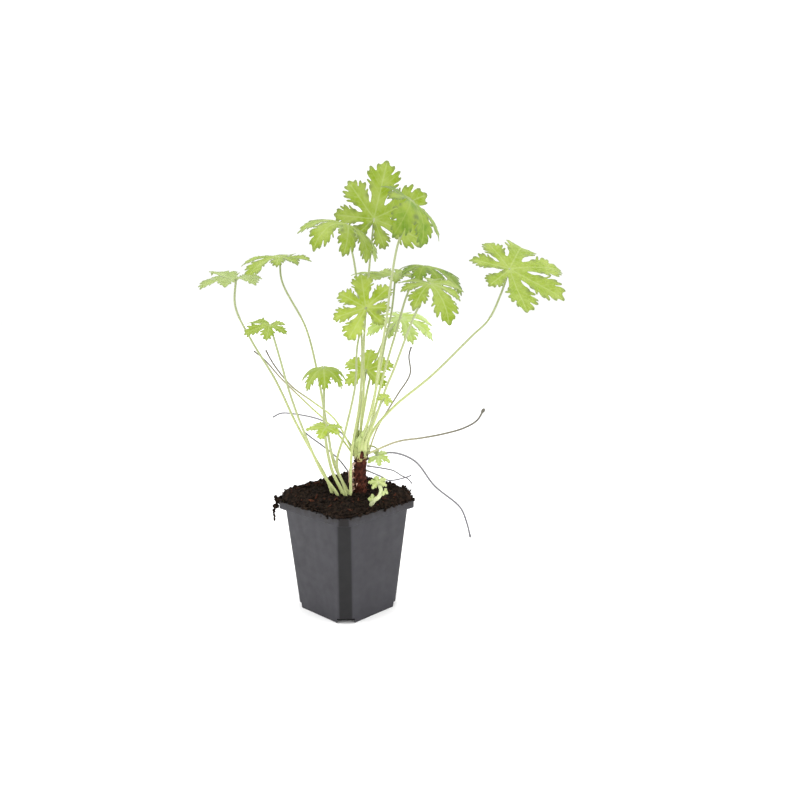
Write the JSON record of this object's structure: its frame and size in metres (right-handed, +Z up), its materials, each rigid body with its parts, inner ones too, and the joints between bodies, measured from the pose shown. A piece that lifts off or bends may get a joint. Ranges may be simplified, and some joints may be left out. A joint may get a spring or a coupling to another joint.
{
  "type": "hardy geranium in a nursery pot",
  "caption": "Young hardy geranium with lobed, toothed leaves on long thin stalks, growing from a scaly rhizome in a filled square plastic nursery pot.",
  "frame": {"origin": "centre of the pot's underside, on the ground", "axes": "+Z up; X and Y square to the pot's sides; the plant's pictured front looks from the -X -Y corner"},
  "size_m": [0.2438, 0.2566, 0.3955],
  "materials": {
    "pot_plastic": "matt dark grey moulded plastic",
    "soil": "loose moist potting compost",
    "leaf": "soft matt yellow-green leaf",
    "leaf_dark": "soft matt dark green leaf",
    "leaf_pale": "soft matt pale green leaf",
    "old_stalk": "dry grey-brown stalk",
    "rhizome": "scaly red-brown rhizome"
  },
  "bodies": {
    "root": {"pot": "pot_plastic", "soil": "soil", "leaf_summit": "leaf", "leaf_upper_left": "leaf", "leaf_upper_right": "leaf_dark", "leaf_middle": "leaf", "leaf_right_shade": "leaf_dark", "leaf_right_front": "leaf", "leaf_back": "leaf_pale", "leaf_heart": "leaf", "leaf_bud": "leaf", "leaf_far_right": "leaf", "leaf_far_left": "leaf", "leaf_left_upper": "leaf", "leaf_left_lower": "leaf", "leaf_umbrella": "leaf", "leaf_low_left": "leaf", "leaf_low_right": "leaf_pale", "leaf_level": "leaf", "stalk_right_knob": "old_stalk", "stalk_right_trailing": "old_stalk", "stalk_right_upright": "old_stalk", "stalk_left_front": "old_stalk", "stalk_left_back": "old_stalk", "stalk_left_level": "old_stalk", "stalk_left_thin": "old_stalk", "root_right_upper": "old_stalk", "root_right_lower": "old_stalk", "seedling": "leaf_pale", "rhizome": "rhizome"}
  },
  "joints": []
}
